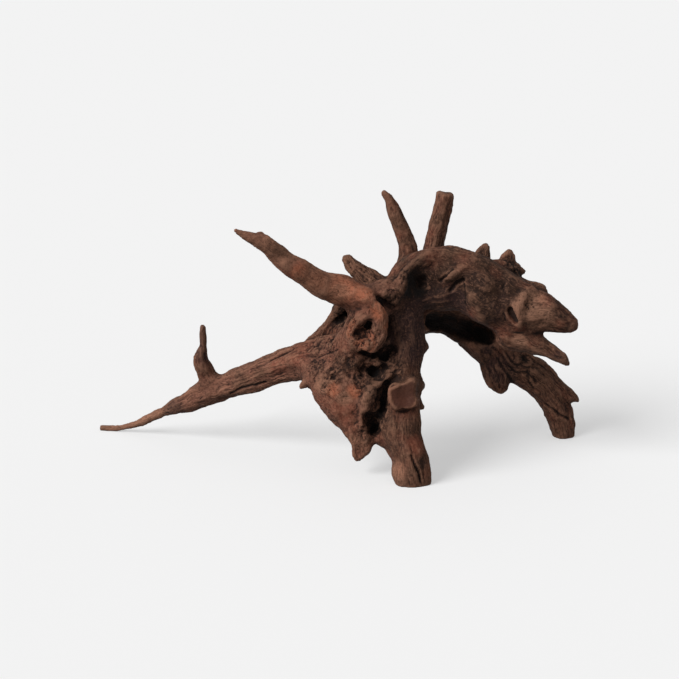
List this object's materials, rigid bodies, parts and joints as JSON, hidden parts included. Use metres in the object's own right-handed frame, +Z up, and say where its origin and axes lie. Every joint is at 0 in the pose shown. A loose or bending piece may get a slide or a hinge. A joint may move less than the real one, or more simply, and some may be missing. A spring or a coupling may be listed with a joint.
{
  "type": "driftwood",
  "caption": "Branched root driftwood with an arch, upright prongs, a knot hole and long tapering limbs, for decorating an aquarium or a terrarium.",
  "frame": {"origin": "on the ground, below the middle of the wood's overall box", "axes": "+Z up from the three points it stands on, +X towards the blunt snout of the arch limb, -Y towards the knot hole and the stout front leg"},
  "size_m": [0.3134, 0.1042, 0.1675],
  "materials": {
    "wood": "bare, weathered, matte"
  },
  "bodies": {
    "root": {"driftwood": "wood"}
  },
  "joints": []
}
